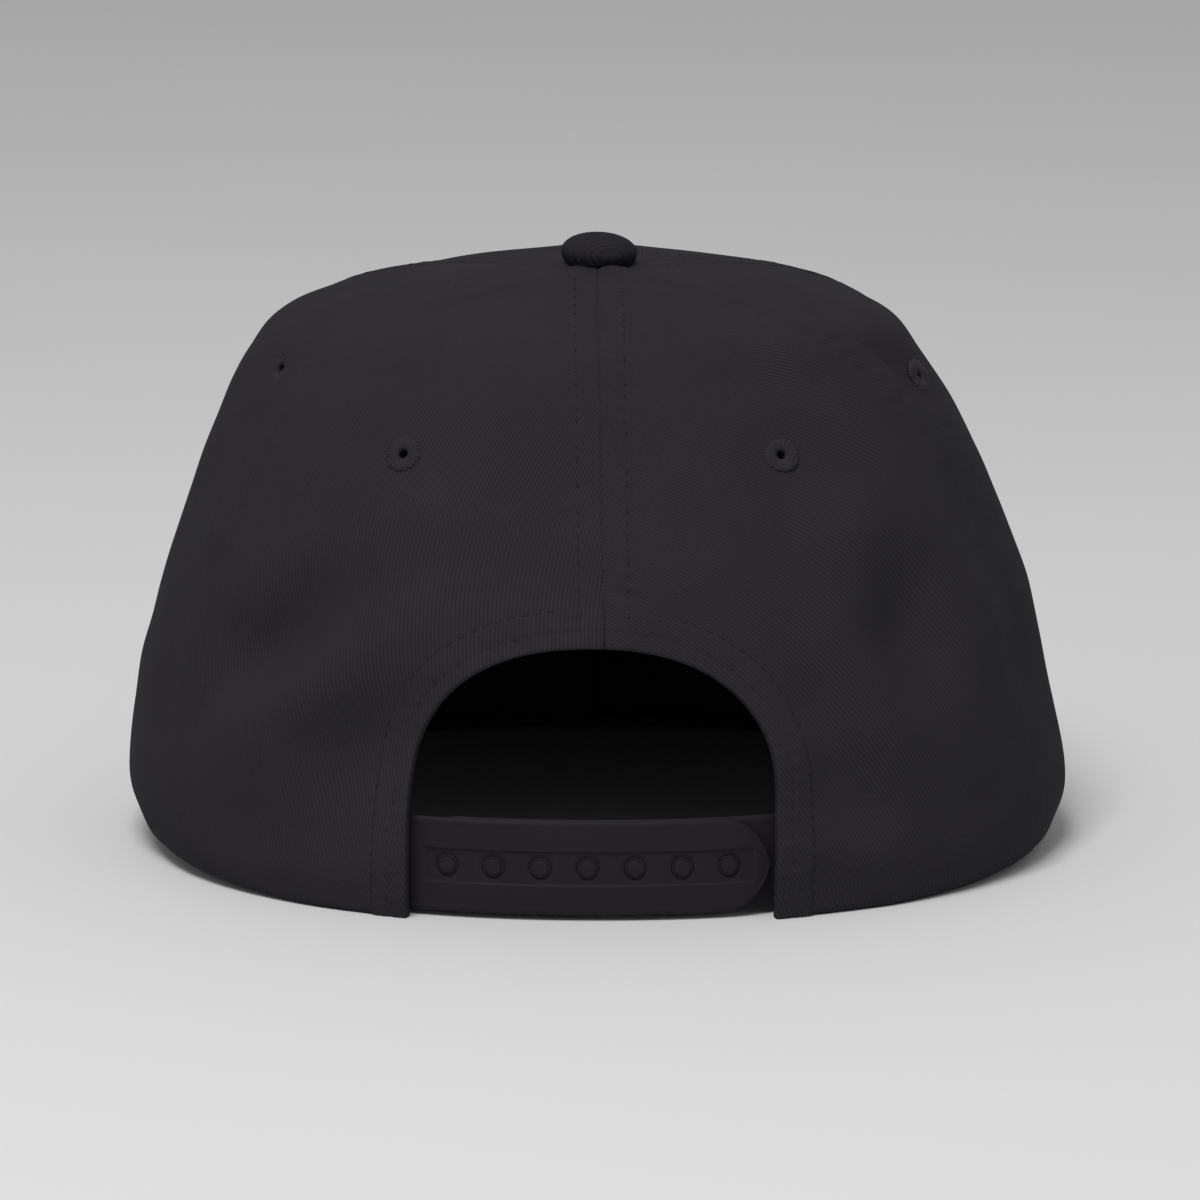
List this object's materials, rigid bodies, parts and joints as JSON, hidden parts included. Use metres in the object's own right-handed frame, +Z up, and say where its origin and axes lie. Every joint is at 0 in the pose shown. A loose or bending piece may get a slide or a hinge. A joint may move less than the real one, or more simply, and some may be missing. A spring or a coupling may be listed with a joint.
{
  "type": "snapback cap",
  "caption": "Black twill cap with a structured panel crown, covered button, sewn eyelets, flat peak and plastic snap strap over a rear arch.",
  "frame": {"origin": "on the surface that the cap stands on, below the middle of its bounding box", "axes": "+Z up, -Y along the peak, +Y towards the back strap, +X to the wearer's left"},
  "size_m": [0.1954, 0.2314, 0.1262],
  "materials": {
    "twill_cloth": "matte",
    "eyelet_thread": "satin",
    "strap_plastic": "matte"
  },
  "bodies": {
    "root": {"crown_panel_back_left": "twill_cloth", "crown_panel_side_left": "twill_cloth", "crown_panel_front_left": "twill_cloth", "crown_panel_front_right": "twill_cloth", "crown_panel_side_right": "twill_cloth", "crown_panel_back_right": "twill_cloth", "eyelet_back_left": "eyelet_thread", "eyelet_side_left": "eyelet_thread", "eyelet_front_left": "eyelet_thread", "eyelet_front_right": "eyelet_thread", "eyelet_side_right": "eyelet_thread", "eyelet_back_right": "eyelet_thread", "top_button": "twill_cloth", "peak": "twill_cloth", "strap_with_holes": "strap_plastic", "strap_with_pegs": "strap_plastic"}
  },
  "joints": []
}
